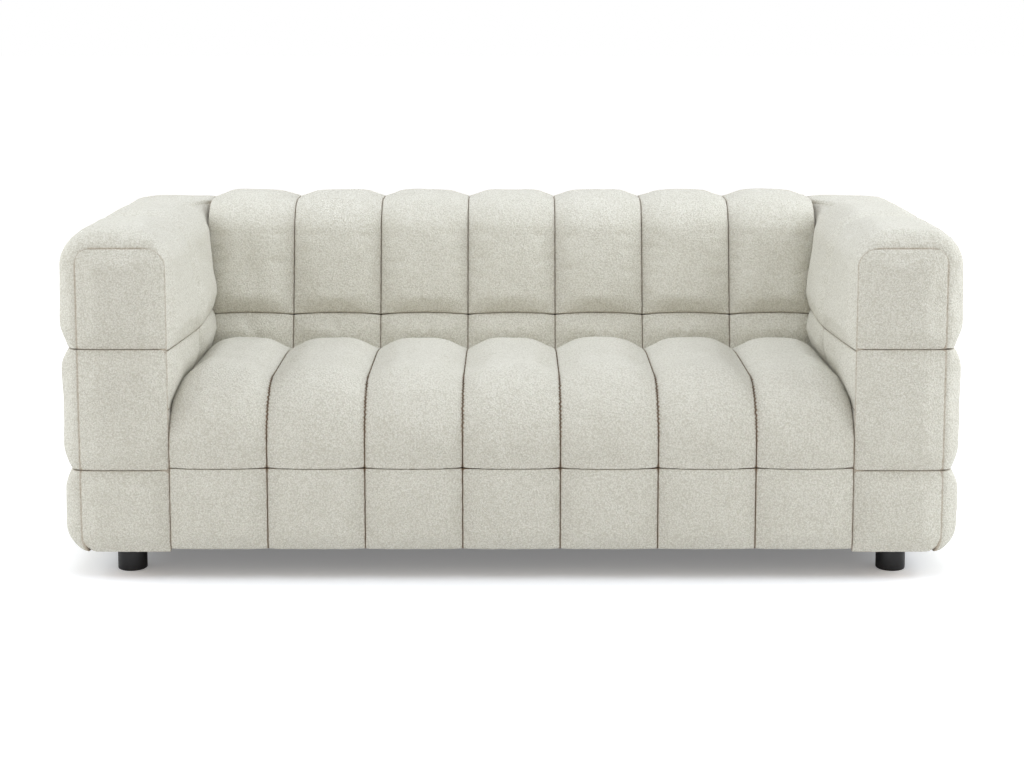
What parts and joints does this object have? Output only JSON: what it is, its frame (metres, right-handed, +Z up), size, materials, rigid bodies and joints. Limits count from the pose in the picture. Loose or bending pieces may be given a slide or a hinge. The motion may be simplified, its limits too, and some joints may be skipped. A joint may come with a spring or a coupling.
{
  "type": "tuxedo sofa",
  "caption": "Three-seat channel-quilted sofa in cream boucle, with box arms as high as the back and short round black feet.",
  "frame": {"origin": "on the floor, under the middle of the sofa's overall box", "axes": "+X to the right seen from the front, -Y out of the seat's front, +Z up"},
  "size_m": [1.93, 0.8599, 0.762],
  "materials": {
    "boucle": "matte",
    "foot_plastic": "satin",
    "timber": "matte",
    "plywood": "matte",
    "hardboard": "matte",
    "spring_steel": "satin",
    "zinc_steel": "satin",
    "foam": "matte",
    "felt": "matte",
    "webbing": "matte",
    "dust_cover": "matte"
  },
  "bodies": {
    "root": {"arm_left_boards": "timber", "arm_left_corner_puff_top": "boucle", "arm_left_front_panels": "boucle", "arm_left_inner_pad": "boucle", "arm_left_outer_bottom_band": "boucle", "arm_left_outer_middle_band": "boucle", "arm_left_posts": "timber", "arm_left_side_panels": "hardboard", "arm_left_top_puff_front": "boucle", "arm_left_top_puff_middle": "boucle", "arm_right_boards": "timber", "arm_right_corner_puff_top": "boucle", "arm_right_front_panels": "boucle", "arm_right_inner_pad": "boucle", "arm_right_outer_bottom_band": "boucle", "arm_right_outer_middle_band": "boucle", "arm_right_posts": "timber", "arm_right_side_panels": "hardboard", "arm_right_top_puff_front": "boucle", "arm_right_top_puff_middle": "boucle", "back_boards": "plywood", "back_channel_1": "boucle", "back_channel_2": "boucle", "back_channel_3": "boucle", "back_channel_4": "boucle", "back_channel_5": "boucle", "back_channel_6": "boucle", "back_channel_7": "boucle", "back_lumbar_row": "boucle", "back_outer_bottom_row": "boucle", "back_outer_middle_row": "boucle", "back_rear_panel": "hardboard", "back_ribs": "plywood", "back_webbing": "webbing", "dust_cover": "dust_cover", "foot_front_left": "foot_plastic", "foot_front_right": "foot_plastic", "foot_rear_left": "foot_plastic", "foot_rear_right": "foot_plastic", "foot_studs": "zinc_steel", "foot_tee_nuts": "zinc_steel", "frame_bolt_fittings": "zinc_steel", "frame_bolts": "zinc_steel", "seat_border": "boucle", "seat_channel_1": "boucle", "seat_channel_2": "boucle", "seat_channel_3": "boucle", "seat_channel_4": "boucle", "seat_channel_5": "boucle", "seat_channel_6": "boucle", "seat_channel_7": "boucle", "seat_corner_blocks": "timber", "seat_cross_rails": "timber", "seat_felt": "felt", "seat_foam_slab": "foam", "seat_front_rail": "timber", "seat_rear_rail": "timber", "seat_side_rails": "timber", "seat_spring_clips": "spring_steel", "seat_springs": "spring_steel"}
  },
  "joints": []
}
